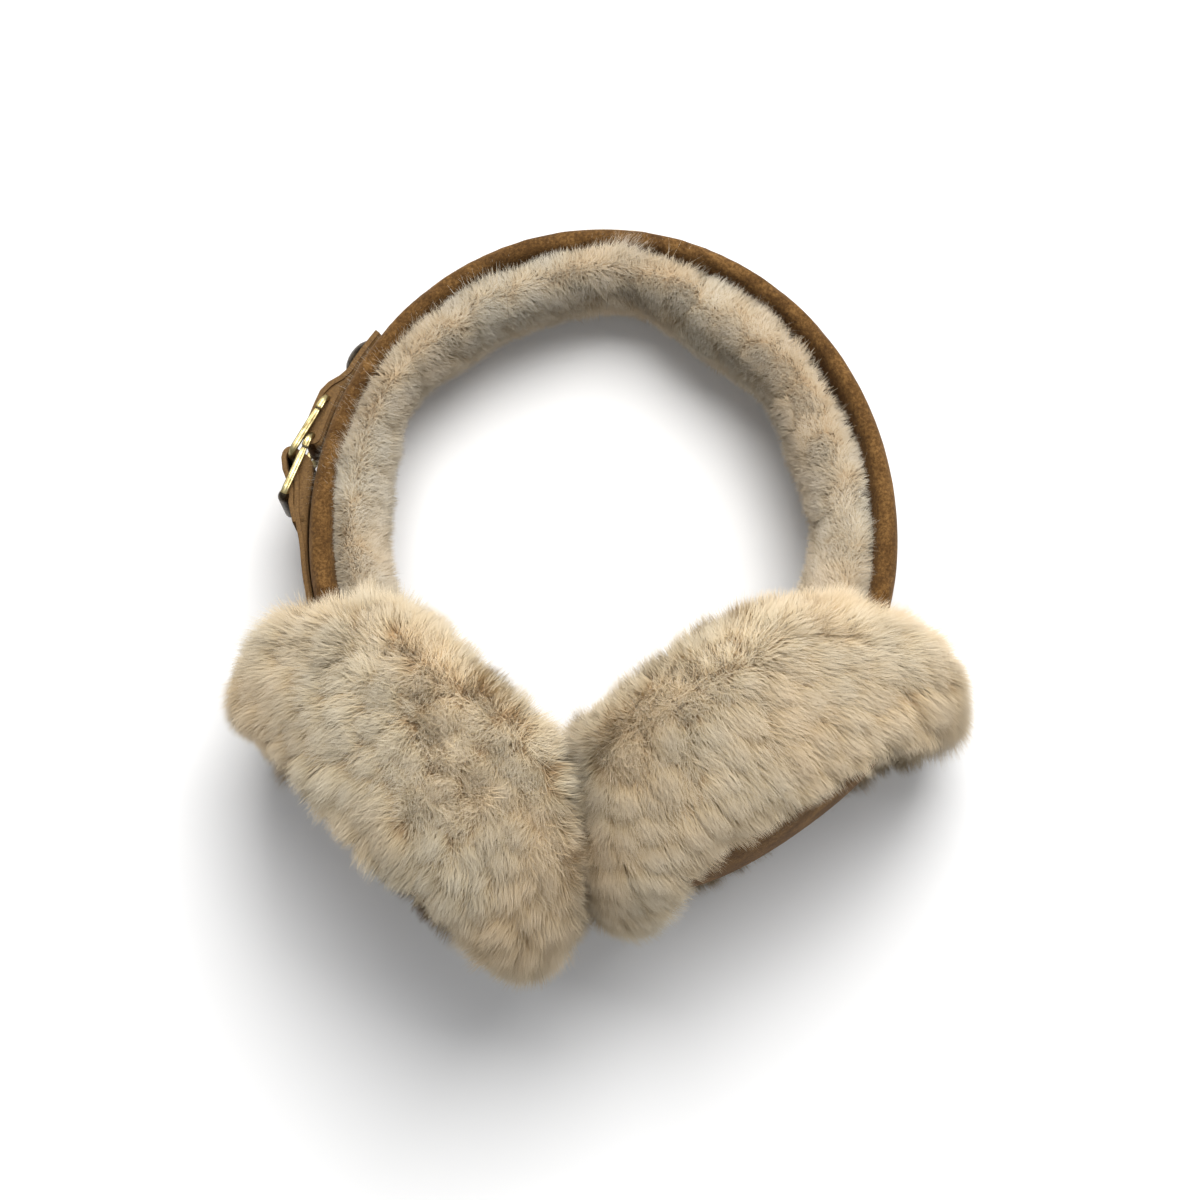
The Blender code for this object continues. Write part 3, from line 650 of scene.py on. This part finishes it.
    out, comb, whim, turn = stored("out"), stored("comb"), stored("whim"), stored("turn")
    root, hub = stored("root"), stored("hub")
    side, along, tone = stored("side", False), stored("along", False), stored("tone", False)
    pile = stored("pile", False)

    def leaning(lean, wander, loose):
        upright = vector("SCALE", out, number("SUBTRACT", 1.0, lean))
        way = vector("ADD", upright, vector("SCALE", comb, lean))
        way = vector("ADD", way, vector("SCALE", turn, wander))
        return vector("NORMALIZE", vector("ADD", way, vector("SCALE", whim, loose)))

    first = leaning(given["Root lean"], 0.0, given["Hair wander"])
    last = leaning(given["Tip lean"], given["Tuft wander"], given["Hair wander"])
    way = vector("NORMALIZE", vector("ADD", first, last))
    whim_parts = add(tree, "ShaderNodeSeparateXYZ", {0: whim}).outputs
    vary = number("MULTIPLY_ADD", whim_parts[0], 0.22)
    vary.node.inputs[2].default_value = 0.9
    length = number("MULTIPLY", number("MULTIPLY", given["Length"], pile), vary)
    tuft_length = number("MULTIPLY_ADD", tone, 0.3)
    tuft_length.node.inputs[2].default_value = 0.85
    length = number("MULTIPLY", length, tuft_length)
    line = vector("ADD", root, vector("SCALE", way, number("MULTIPLY", length, along)))
    pull = number("MULTIPLY", given["Tuft pull"], number("MULTIPLY", along, along))
    line = vector("ADD", line, vector("SCALE", vector("SUBTRACT", hub, root), pull))
    glow = add(tree, "ShaderNodeCombineXYZ", {2: given["Scatter"]}).outputs[0]
    soft = vector("ADD", vector("ADD", out, vector("SCALE", way, 0.3)), glow)
    soft = vector("NORMALIZE", vector("ADD", soft, vector("SCALE", whim, 0.07)))
    across = vector("NORMALIZE", vector("CROSS_PRODUCT", soft, way))
    half = number("MULTIPLY", number("MULTIPLY", given["Width"], 0.5), side)
    spot = vector("ADD", line, vector("SCALE", across, half))
    xyz = add(tree, "ShaderNodeSeparateXYZ", {0: spot}).outputs
    lifted = number("MAXIMUM", xyz[2], 0.2 * MM)
    spot = add(tree, "ShaderNodeCombineXYZ", {0: xyz[0], 1: xyz[1], 2: lifted}).outputs[0]
    fur = add(tree, "GeometryNodeSetPosition", {"Geometry": fur, "Position": spot}).outputs[0]
    fur = store(fur, "soft", soft)
    inputs = {"Geometry": fur, "Material": given["Finish"]}
    fur = add(tree, "GeometryNodeSetMaterial", inputs).outputs[0]
    end = add(tree, "NodeGroupOutput")
    tree.links.new(fur, end.inputs[0])
    return tree


FUR = fur_tree()
FUR_SOCKETS = {s.name: s.identifier for s in FUR.interface.items_tree if s.in_out == "INPUT"}
print("fur:", len(FUR.nodes), "nodes and", len(FUR_SOCKETS), "inputs")


USED_UP = ("root", "hub", "turn", "whim", "side", "out", "comb", "cover", "pile", "soft")


def grown(host, name, seed, finish=None, **sizes):
    """Fur on a skin, as a plain mesh with the shading of the skin below it."""
    made = bpy.data.objects.new(name, host.data.copy())
    bpy.context.scene.collection.objects.link(made)
    step = made.modifiers.new("fur", "NODES")
    step.node_group = FUR
    for size, value in FUR_SIZES:
        step[FUR_SOCKETS[size]] = sizes.get(size.replace(" ", "_").lower(), value)
    step[FUR_SOCKETS["Seed"]] = seed
    step[FUR_SOCKETS["Finish"]] = finish or PILE
    graph = bpy.context.evaluated_depsgraph_get()
    mesh = bpy.data.meshes.new_from_object(made.evaluated_get(graph), depsgraph=graph)
    made.modifiers.clear()
    made.data = mesh
    mesh.name = name
    mesh.shade_smooth()
    soft = np.zeros(len(mesh.vertices) * 3)
    mesh.attributes["soft"].data.foreach_get("vector", soft)
    mesh.normals_split_custom_set_from_vertices(soft.reshape(-1, 3))
    for used in USED_UP:
        if used in mesh.attributes:
            mesh.attributes.remove(mesh.attributes[used])
    return made


# %% [markdown]
# ### Pile on the cups and the band
# Each cup carries two coats: an even one, and longer hairs drawn together into tufts. The
# lining's pile is shorter, denser and finer, with the stray wisps along its front edge. Its finish
# is painted darker and greyer than the cups', as shade on the lining inside the band.

# %% Pile on the cups and the band
for side, seed in (("left", 3), ("right", 4)):
    base = cup_skins[side]
    fur = grown(base, side + "_cup_pile", seed, length=7 * MM, tip_lean=0.6)
    keep(fur, "cup_pile")
    wander = 0.35 if side == "left" else 0.25
    fur = grown(base, side + "_cup_tufts", seed + 10, length=9 * MM, tuft_spacing=6 * MM,
                tuft_pull=0.45, tuft_wander=wander, tip_lean=0.8)
    keep(fur, "cup_pile")
    give(base, PILE)
    keep(base, "cup_pile", side + "_cup_fur")

fur = grown(lining_skin, "lining_pile", 5, density=10.4e6, length=5.0 * MM, width=0.2 * MM,
            tuft_spacing=6 * MM, tuft_pull=0.1, tuft_wander=0.35, hair_wander=0.35,
            root_lean=0.3, tip_lean=0.45, scatter=1.0, finish=SHADED_SHORT_PILE)
keep(fur, "band_pile")
fur = grown(wisp_skin, "edge_wisps", 6, density=16e6, length=7.5 * MM, width=0.15 * MM,
            tuft_spacing=9 * MM, tuft_pull=0.1, tuft_wander=0.9, hair_wander=0.7,
            root_lean=0.6, tip_lean=0.75, scatter=1.2, finish=SHADED_SHORT_PILE)
keep(fur, "band_pile")
bpy.data.objects.remove(wisp_skin)

# %% [markdown]
# ### Dark hairs
# A few coarse brown hairs often stay in an undyed fleece. They are the same blades as the
# pile's, set very far apart and in a brown finish.


# %% Dark hairs
def kemp_finish():
    """Brown guard hairs of undyed sheepskin."""
    made, tree, shader, place = principled("dark guard hair")
    tone = ramp(tree, noise(tree, place, 4 * MM), ((0.3, "#3A2A1C"), (0.7, "#6B533C")))
    tree.links.new(tone, shader.inputs["Base Color"])
    shader.inputs["Roughness"].default_value = 0.7
    return made


KEMP = kemp_finish()
DARK_HOSTS = (
    ("left_cup", cup_skins["left"], "cup_pile"),
    ("right_cup", cup_skins["right"], "cup_pile"),
    ("lining", lining_skin, "band_pile"),
)
for number, (place_name, host, slot_name) in enumerate(DARK_HOSTS):
    fur = grown(host, place_name + "_dark_hairs", 20 + number, finish=KEMP, density=900.0,
                length=9 * MM, width=0.2 * MM, tuft_wander=0.8, hair_wander=0.8, scatter=1.0)
    keep(fur, slot_name)
keep(give(lining_skin, SHADED_SHORT_PILE), "band_pile", "headband_fur")

# %% [markdown]
# ## Strap, rings and rivet
# The strap is two strips of suede with cut edges, which are darker than the faces. They keep
# the form of the CAD solids, with the edges taken off. Below each lies a second, narrower
# layer that closes the space between the strap and the band; it is in the dark edge finish,
# as painted shade in that space.


# %% Strap
def strap(node, name):
    """A strip of suede in the form of its CAD solid, with its cut edges marked."""
    made = copied(node, name)
    modified(made, "BEVEL", width=0.25 * MM, segments=2, limit_method="ANGLE", angle_limit=0.9)
    give(made, SUEDE, EDGE_AND_GAP_SHADE)
    for face in made.data.polygons:
        face.material_index = 1 if abs(face.normal.dot(Vector(FRONT))) > 0.8 else 0
    return keep(made, "strap_suede", node)


WIDEST_FILL = 5.5 * MM  # where the band is farther away, the space stays open


def shade_under_layer(node, name, narrower):
    """A second, narrower layer filling the space between strap and band, as painted shade."""
    made = copied(node, name)
    points, normals = points_of(made), normals_of(made)
    middle = ((points @ FRONT).max() + (points @ FRONT).min()) / 2
    for k, (point, normal) in enumerate(zip(points, normals)):
        near, _, _, gap = band_surface.find_nearest(Vector(point))
        if gap < WIDEST_FILL and (near - Vector(point)).dot(Vector(normal)) > 0.4 * gap:
            share = float(1 - ease(gap, 4.0 * MM, WIDEST_FILL))
            points[k] += np.array(near - Vector(point)) * max(0.0, 1 - 0.25 * MM / gap) * share
        else:
            points[k] -= normal * 0.3 * MM
        points[k] -= FRONT * np.sign(point @ FRONT - middle) * narrower
    move_points(made, points)
    # The dark edge finish here is painted shade in the space under the strap.
    return keep(give(made, EDGE_AND_GAP_SHADE), "strap_suede")


strap("strap_upper", "upper_strap")
strap("strap_lower", "lower_strap")
shade_under_layer("strap_upper", "upper_strap_shade_backing", 0.7 * MM)
shade_under_layer("strap_lower", "lower_strap_shade_backing", 0.7 * MM)

# %% [markdown]
# ### Metal
# The rings are antique brass, worn bright where they are handled. The rivet, the grooves
# filed in the rings and the free bar of the inner one are dark bronze. The rivet's CAD solid
# is already the right form, so it only gets its finish.


# %% Metal
def antique_brass():
    """Plated brass, rubbed bright on its high places and dark in its hollows."""
    made, tree, shader, place = principled("antique brass")
    wear = noise(tree, place, 2.2 * MM, 3.0, 0.6)
    tone = ramp(tree, wear, ((0.3, "#7E6F48"), (0.45, "#A8986A"), (0.7, "#CFC294")))
    tree.links.new(tone, shader.inputs["Base Color"])
    shader.inputs["Metallic"].default_value = 1.0
    shine = ramp(tree, wear, ((0.35, 0.5), (0.65, 0.32)))
    tree.links.new(shine, shader.inputs["Roughness"])
    return made


def dark_bronze():
    """Bronze with a dark skin, a little paler where it is rubbed."""
    made, tree, shader, place = principled("dark bronze")
    wear = noise(tree, place, 1.5 * MM, 3.0, 0.6)
    tone = ramp(tree, wear, ((0.35, "#2A231B"), (0.7, "#5C5040")))
    tree.links.new(tone, shader.inputs["Base Color"])
    shader.inputs["Metallic"].default_value = 1.0
    shader.inputs["Roughness"].default_value = 0.42
    return made


BRASS = antique_brass()
BRONZE = dark_bronze()
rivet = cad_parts["strap_rivet"]
rivet.data.materials.clear()
rivet.data.materials.append(BRONZE)
print("metals:", BRASS.name, "and", BRONZE.name)

# %% [markdown]
# ### Cast rings
# A ring is cast in one: two flat side bars with a raised line along each edge, a small block
# where each meets the bar in the strap's fold, a filed groove below the block, and a round
# free bar. Its section is carried round the loop of the CAD ring and changes on the way.


# %% Cast rings
WIRE = 0.9 * MM  # radius of the CAD ring's wire
CORNER = 2.4 * MM  # radius of its corners
GROOVE = (0.83, 0.88)  # where the filed groove lies along a side bar, the block beyond it
GROOVE_SIZE, BLOCK_SIZE = 0.78, 1.1
SIDE_STATIONS = (0.03, 0.06, 0.12, 0.30, 0.50, 0.70, 0.84, 0.87, 0.89, 0.91, 0.93, 0.97)
CORNER_STEPS = 8
SIDE_SECTION = ((0.95, -0.7), (1.05, -0.95), (0.55, -1.05), (0.35, -0.9), (0.0, -0.9),
                (-0.35, -0.9), (-0.55, -1.05), (-1.05, -0.95), (-0.95, -0.7), (-0.97, -0.35),
                (-0.97, 0.0), (-0.97, 0.35), (-0.95, 0.7), (-0.8, 0.85), (-0.4, 0.87),
                (0.0, 0.87), (0.4, 0.87), (0.8, 0.85), (0.95, 0.7), (0.97, 0.35),
                (0.97, 0.0), (0.97, -0.35))  # across the ring's plane and in from its outside


def loop_of(length, width):
    """Middle line of a ring: points, outward directions and what each point belongs to."""
    places, outs, parts = [], [], []
    corners = ((1, 1), (-1, 1), (-1, -1), (1, -1))
    for number, (along, across) in enumerate(corners):
        centre = np.array((along * (length / 2 - CORNER), across * (width / 2 - CORNER)))
        for step in range(CORNER_STEPS + 1):
            angle = math.radians(90 * number + 90 * step / CORNER_STEPS)
            out = np.array((math.cos(angle), math.sin(angle)))
            places.append(centre + CORNER * out)
            outs.append(out)
            parts.append("corner")
        if number in (0, 2):
            run = length - 2 * CORNER
            for share in SIDE_STATIONS:
                way = -along
                places.append(centre + CORNER * out + np.array((way * run * share, 0.0)))
                outs.append(out)
                parts.append(share if number == 0 else 1 - share)
    return np.array(places), np.array(outs), parts


def cast_ring(node, name, hook):
    """The cast ring in the place of a CAD ring; hook is how much thicker its free bar is."""
    points = node_points(node)
    middle = points.mean(axis=0)
    _, _, axes = np.linalg.svd(points - middle)
    long, wide, plane = axes
    if np.abs(wide @ FRONT) < np.abs(long @ FRONT):
        long, wide = wide, long
    long = long * -np.sign(long[1])
    wide = wide * np.sign(wide @ FRONT)
    plane = np.cross(long, wide)
    spans = [(points - middle) @ axis for axis in (long, wide)]
    length, width = [span.max() - span.min() - 2 * WIRE for span in spans]
    middle = middle + sum(
        axis * (span.max() + span.min()) / 2 for axis, span in zip((long, wide), spans)
    )
    places, outs, parts = loop_of(length, width)
    rings, marks = [], []
    count = len(SIDE_SECTION)
    for (x, y), (out_x, out_y), part in zip(places, outs, parts):
        out = long * out_x + wide * out_y
        spot = middle + long * x + wide * y
        size = 1.0
        straight = isinstance(part, float)
        if straight and part > GROOVE[1]:
            size = BLOCK_SIZE
        elif straight and part > GROOVE[0]:
            size = GROOVE_SIZE
        rounded = 0.0 if straight else float(ease(abs(out_x), 0.1, 0.8))
        thick = 1 + (hook - 1) * float(ease(out_x, 0.2, 1.0))
        ring = []
        for side, inward in SIDE_SECTION:
            turn = math.atan2(inward, side)
            square = plane * side - out * inward
            round_one = plane * math.cos(turn) - out * math.sin(turn)
            offset = square * (1 - rounded) + round_one * rounded
            ring.append(spot + offset * WIRE * size * thick)
        rings.append(ring)
        groove = straight and GROOVE[0] < part < GROOVE[1]
        dark_bar = hook > 1 and out_x > 0.4
        marks.append(1 if groove or dark_bar else 0)
    corners = [tuple(p) for ring in rings for p in ring]
    faces, kinds = [], []
    for a in range(len(rings)):
        b = (a + 1) % len(rings)
        for k in range(count):
            j = (k + 1) % count
            faces.append((a * count + k, b * count + k, b * count + j, a * count + j))
            kinds.append(min(marks[a], marks[b]))
    mesh = bpy.data.meshes.new(name)
    mesh.from_pydata(corners, [], faces)
    made = bpy.data.objects.new(name, mesh)
    bpy.context.scene.collection.objects.link(made)
    give(made, BRASS, BRONZE)
    mesh.polygons.foreach_set("material_index", kinds)
    fixed = bmesh.new()
    fixed.from_mesh(mesh)
    bmesh.ops.recalc_face_normals(fixed, faces=fixed.faces)
    fixed.to_mesh(mesh)
    fixed.free()
    modified(made, "BEVEL", width=0.12 * MM, segments=2, limit_method="ANGLE", angle_limit=0.6)
    made.data.shade_smooth()
    return keep(made, "ring_metal", node)


cast_ring("ring_outer", "outer_ring", 1.0)
cast_ring("ring_inner", "inner_ring", 1.75)
